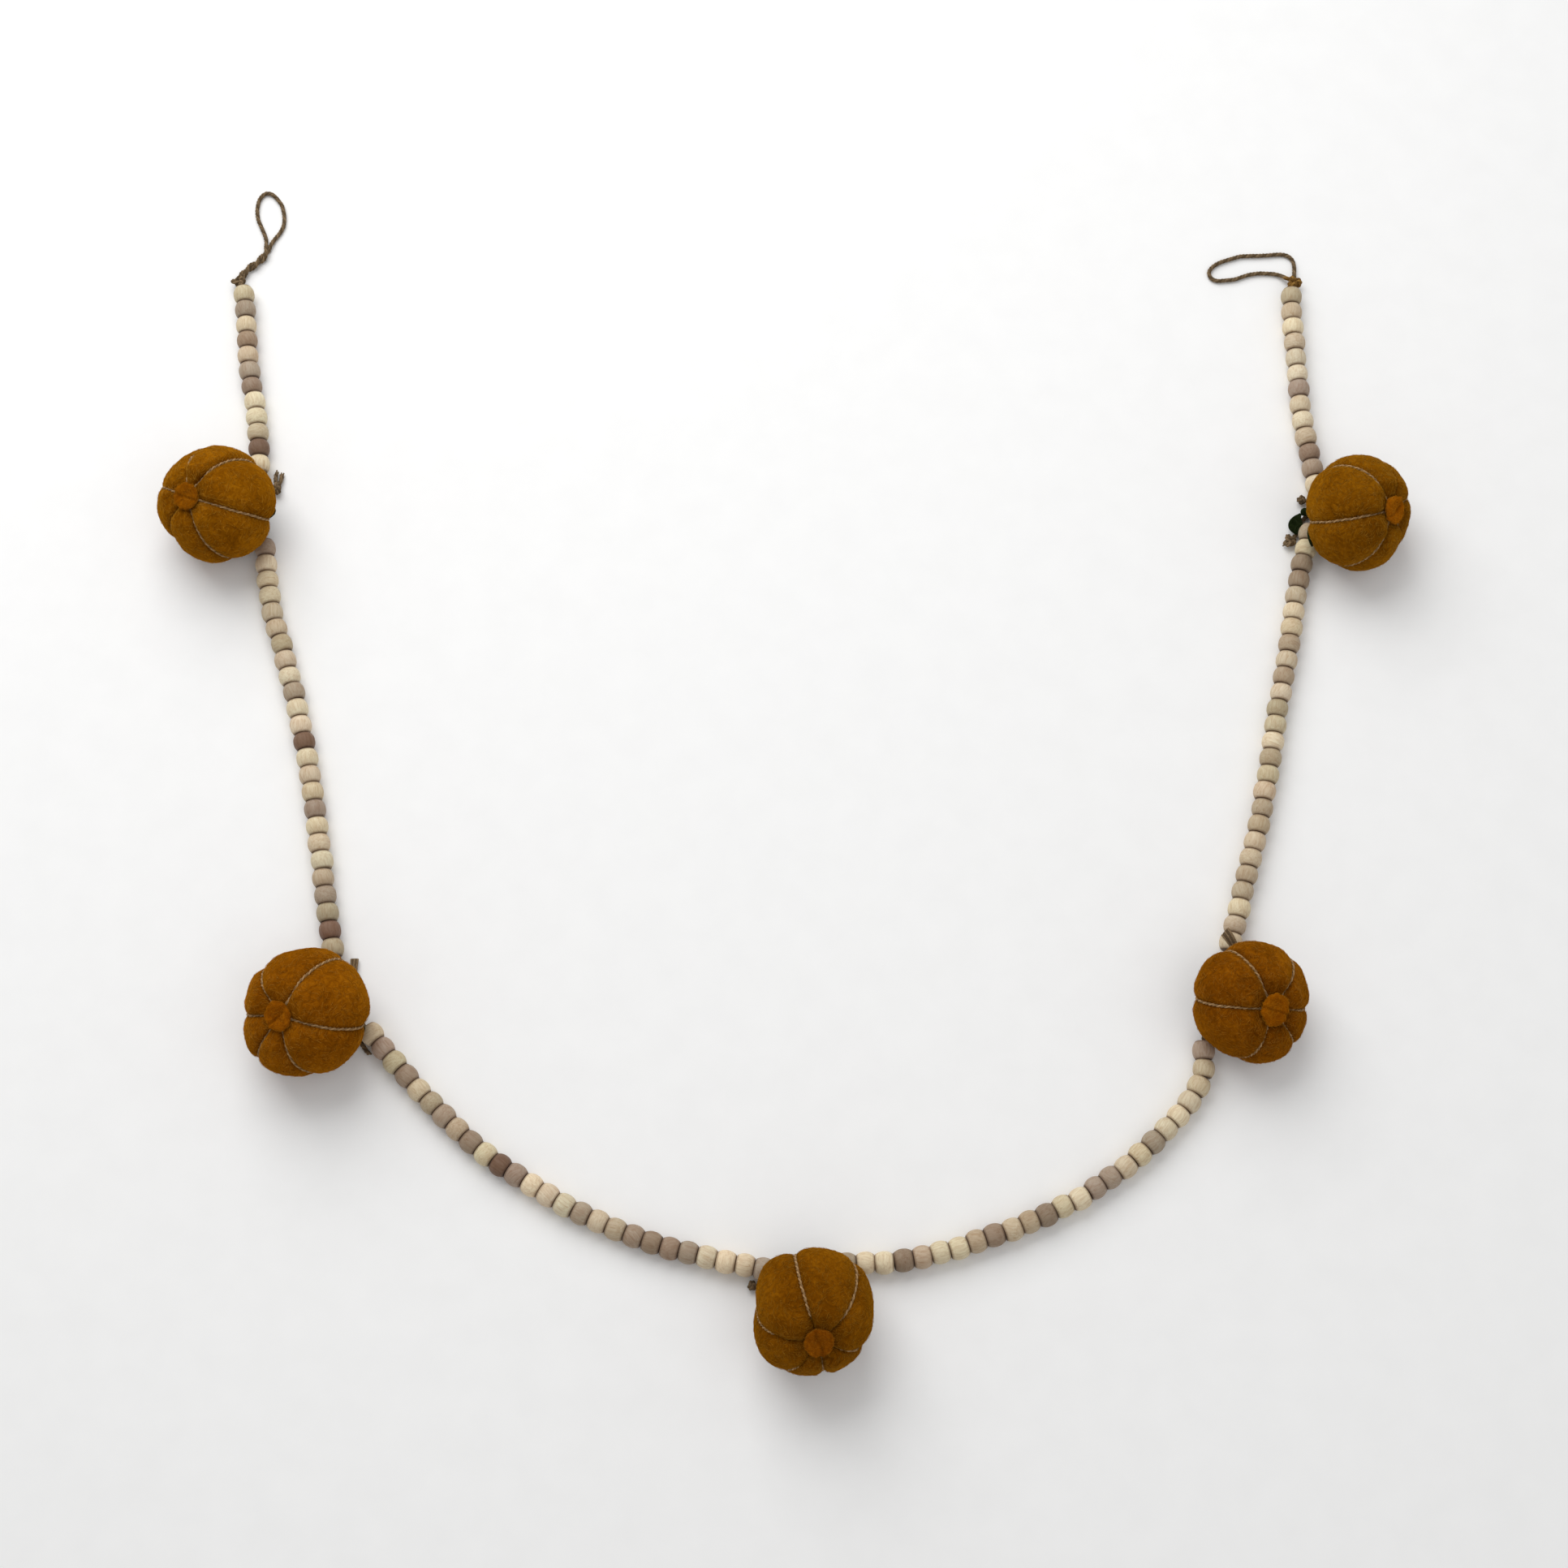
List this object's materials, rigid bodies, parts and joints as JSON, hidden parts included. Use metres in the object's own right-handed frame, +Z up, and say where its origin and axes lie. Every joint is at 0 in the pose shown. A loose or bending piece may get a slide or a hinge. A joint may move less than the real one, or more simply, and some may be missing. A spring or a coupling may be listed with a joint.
{
  "type": "bead garland with felt pumpkins",
  "caption": "Long garland of round wooden beads with stuffed felt pumpkins laced with twine between them, laid in a wide U, with a cord hanging loop at each end.",
  "frame": {"origin": "on the surface the garland lies on, under the middle of the box around everything but the two hanging loops", "axes": "+Z up from the surface; +X from the left end of the U to its right end; +Y from the middle of the U towards the two hanging loops"},
  "size_m": [0.8324, 0.8196, 0.0722],
  "materials": {
    "wood": "raw, matte",
    "orange_felt": "matte felted wool",
    "button_felt": "matte felted wool",
    "green_felt": "matte felted wool",
    "twine": "matte twisted twine",
    "cord": "matte twisted cord"
  },
  "bodies": {
    "root": {"bead_strand_1": "wood", "bead_strand_2": "wood", "bead_strand_3": "wood", "bead_strand_4": "wood", "bead_strand_5": "wood", "bead_strand_6": "wood", "pumpkin_1": "orange_felt", "lacing_1": "twine", "blossom_button_1": "button_felt", "leaf_1a": "green_felt", "leaf_1b": "green_felt", "stem_1": "green_felt", "pumpkin_2": "orange_felt", "lacing_2": "twine", "blossom_button_2": "button_felt", "leaf_2a": "green_felt", "leaf_2b": "green_felt", "stem_2": "green_felt", "pumpkin_3": "orange_felt", "lacing_3": "twine", "blossom_button_3": "button_felt", "leaf_3a": "green_felt", "leaf_3b": "green_felt", "stem_3": "green_felt", "pumpkin_4": "orange_felt", "lacing_4": "twine", "blossom_button_4": "button_felt", "leaf_4a": "green_felt", "leaf_4b": "green_felt", "stem_4": "green_felt", "pumpkin_5": "orange_felt", "lacing_5": "twine", "blossom_button_5": "button_felt", "leaf_5a": "green_felt", "leaf_5b": "green_felt", "stem_5": "green_felt", "tie_1": "cord", "tie_2": "cord", "tie_3": "cord", "tie_4": "cord", "tie_5": "cord", "hanging_loop_left": "cord", "hanging_loop_right": "cord"}
  },
  "joints": []
}
